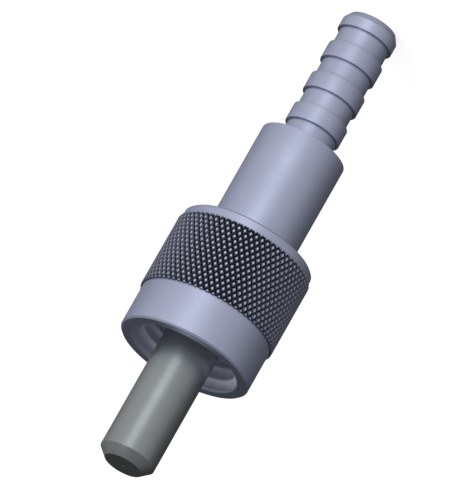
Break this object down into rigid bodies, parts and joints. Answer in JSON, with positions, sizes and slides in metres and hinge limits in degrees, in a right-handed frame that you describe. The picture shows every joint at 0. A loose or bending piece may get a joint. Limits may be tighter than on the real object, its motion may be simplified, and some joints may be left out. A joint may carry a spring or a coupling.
{
  "type": "fibre optic connector",
  "caption": "Round fibre optic connector: long ground ferrule, knurled coupling nut with an internal thread that spins on a smooth barrel, and a ribbed crimp stem.",
  "frame": {"origin": "centre of the rear end face of the crimp stem, which the connector stands on", "axes": "+Z along the connector's axis, from the crimp stem towards the ferrule tip"},
  "size_m": [0.0078, 0.0078, 0.0285],
  "materials": {
    "plated_body": "nickel-plated, satin",
    "ground_ferrule": "ground",
    "spring_ring": "plain",
    "plated_nut": "nickel-plated, satin"
  },
  "bodies": {
    "connector": {"connector_body": "plated_body", "ferrule": "ground_ferrule"},
    "retainer": {"retaining_ring": "spring_ring"},
    "nut": {"coupling_nut": "plated_nut"}
  },
  "joints": [
    {"name": "nut_float", "type": "slide", "parent": "connector", "child": "retainer", "axis": [0, 0, 1], "range_m": [0, 0.00035]},
    {"name": "nut_spin", "type": "hinge", "parent": "retainer", "child": "nut", "pos_m": [0, 0, 0.018], "axis": [0, 0, 1], "continuous": true}
  ]
}
